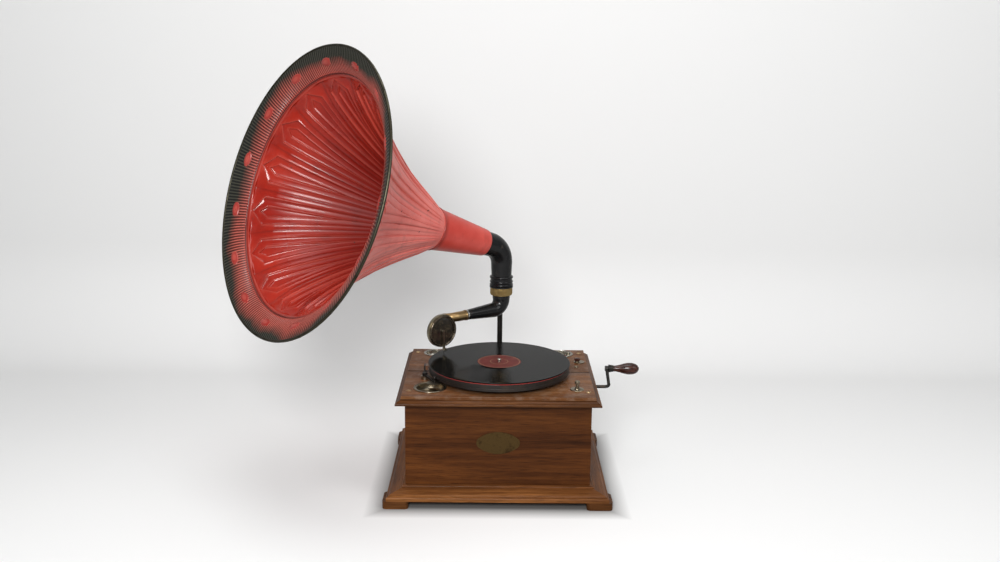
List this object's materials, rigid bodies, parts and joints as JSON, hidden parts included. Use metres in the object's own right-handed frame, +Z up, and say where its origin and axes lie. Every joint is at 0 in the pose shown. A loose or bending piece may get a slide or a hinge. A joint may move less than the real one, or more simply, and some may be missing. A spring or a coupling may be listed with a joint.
{
  "type": "horn gramophone",
  "caption": "Table gramophone: wooden case with spring motor and crank, turntable with a disc record, swinging tone arm with soundbox, and a large embossed flared horn on a swivel elbow.",
  "frame": {"origin": "middle of the bottom board's underside, under the middle of the case; the feet reach down to the floor below it", "axes": "+Z up, -Y the case's front, +X the crank's side"},
  "size_m": [0.7465, 0.4925, 0.7603],
  "materials": {
    "oak_light": "satin",
    "oak_dark": "satin gloss",
    "oak_deck": "satin",
    "board": "raw",
    "nickel": "aged polish",
    "nickel_old": "worn",
    "steel": "ground",
    "spring_steel": "blued",
    "brass": "aged",
    "badge": "dull",
    "black": "gloss enamel",
    "record": "gloss",
    "label": "matt",
    "felt": "felt",
    "leather": "matt",
    "mica": "gloss",
    "grip": "gloss varnish",
    "horn_red": "gloss enamel",
    "horn_band": "gloss enamel",
    "knob": "gloss",
    "platter": "worn enamel"
  },
  "bodies": {
    "case": {"feet": "oak_dark", "bottom_board": "board", "plinth": "oak_light", "front_panel": "oak_dark", "rear_panel": "oak_dark", "left_panel": "oak_dark", "right_panel": "oak_dark", "lid_frame": "oak_dark", "deck_front": "oak_deck", "deck_rear": "oak_deck", "deck_screws": "nickel", "cup_front": "nickel", "cup_rear_left": "nickel", "cup_rear_right": "nickel", "badge": "badge", "bracket": "black", "bracket_screws": "nickel_old", "crank_bush": "brass", "speed_dial": "nickel", "switch_plate": "nickel", "brake_plate": "nickel", "motor_plate": "steel", "motor_base": "steel", "motor_pillars": "steel", "bearing_ring": "brass"},
    "turntable": {"platter": "platter", "felt_mat": "felt", "record": "record", "record_label": "label", "spindle": "steel", "spindle_wheel": "brass"},
    "second_wheel": {"second_arbor": "brass"},
    "barrel": {"spring_barrel": "brass", "mainspring": "spring_steel"},
    "winder": {"winding_arbor": "steel"},
    "governor": {"governor_shaft": "steel", "governor_balls": "brass", "governor_disc": "steel"},
    "crank": {"crank": "nickel_old", "crank_pinion": "steel"},
    "handle": {"crank_ferrule": "black", "crank_grip": "grip"},
    "speed_knob": {"speed_knob": "knob"},
    "speed_lever": {"speed_lever": "steel"},
    "switch": {"switch_knob": "knob"},
    "brake": {"brake_lever": "black", "brake_shoe": "leather"},
    "arm": {"tonearm": "black", "tonearm_collar": "nickel"},
    "soundbox": {"gooseneck": "brass", "soundbox_case": "nickel_old", "soundbox_ring": "nickel_old", "diaphragm": "mica", "needle_arm": "nickel_old", "needle": "steel"},
    "horn": {"horn_elbow": "black", "horn_neck": "horn_red", "horn_bell": "horn_red", "horn_band": "horn_band", "horn_rim": "brass"}
  },
  "joints": [
    {"name": "turntable_spin", "type": "hinge", "parent": "case", "child": "turntable", "pos_m": [0.001, -0.016, 0.182], "axis": [0, 0, 1], "continuous": true},
    {"name": "second_wheel_spin", "type": "hinge", "parent": "case", "child": "second_wheel", "pos_m": [0.04358, -0.03816, 0.117], "axis": [0, 0, 1], "continuous": true},
    {"name": "barrel_spin", "type": "hinge", "parent": "case", "child": "barrel", "pos_m": [0.062, 0.011, 0.102], "axis": [0, 0, 1], "continuous": true},
    {"name": "governor_spin", "type": "hinge", "parent": "case", "child": "governor", "pos_m": [-0.0227, 0.02, 0.102], "axis": [0, 1, 0], "continuous": true},
    {"name": "crank_turn", "type": "hinge", "parent": "case", "child": "crank", "pos_m": [0.15635, 0.011, 0.147], "axis": [1, 0, 0], "continuous": true},
    {"name": "winder_spin", "type": "hinge", "parent": "case", "child": "winder", "pos_m": [0.062, 0.011, 0.132], "axis": [0, 0, 1], "continuous": true},
    {"name": "handle_spin", "type": "hinge", "parent": "crank", "child": "handle", "pos_m": [0.21985, 0.05935, 0.16614], "axis": [1, 0, 0], "continuous": true},
    {"name": "speed_knob_turn", "type": "hinge", "parent": "case", "child": "speed_knob", "pos_m": [0.145, 0.061, 0.177], "axis": [0, 0, 1], "range_deg": [0, 60]},
    {"name": "speed_lever_turn", "type": "hinge", "parent": "case", "child": "speed_lever", "pos_m": [0.145, 0.061, 0.167], "axis": [0, 0, 1], "range_deg": [-2.99, 0]},
    {"name": "switch_turn", "type": "hinge", "parent": "case", "child": "switch", "pos_m": [0.1335, -0.097, 0.177], "axis": [0, 0, 1], "range_deg": [0, 90]},
    {"name": "brake_turn", "type": "hinge", "parent": "case", "child": "brake", "pos_m": [-0.1285, -0.045, 0.183], "axis": [0, 0, 1], "range_deg": [-3.6, 1]},
    {"name": "tonearm_swing", "type": "hinge", "parent": "case", "child": "arm", "pos_m": [0.0043, 0.136, 0.287], "axis": [0, 0, 1], "range_deg": [-60, 26]},
    {"name": "soundbox_turn", "type": "hinge", "parent": "arm", "child": "soundbox", "pos_m": [-0.06222, 0.08309, 0.259], "axis": [-0.7826, -0.6225, 0], "range_deg": [0, 100]},
    {"name": "horn_swivel", "type": "hinge", "parent": "case", "child": "horn", "pos_m": [0.0043, 0.136, 0.3013], "axis": [0, 0, 1], "range_deg": [-110, 110]}
  ],
  "couplings": [
    {"joint": "second_wheel_spin", "follows": "turntable_spin", "ratio": -0.2},
    {"joint": "barrel_spin", "follows": "turntable_spin", "ratio": 0.033333},
    {"joint": "governor_spin", "follows": "turntable_spin", "ratio": 8},
    {"joint": "winder_spin", "follows": "crank_turn", "ratio": 0.4},
    {"joint": "speed_knob_turn", "follows": "speed_lever_turn", "ratio": -20}
  ]
}
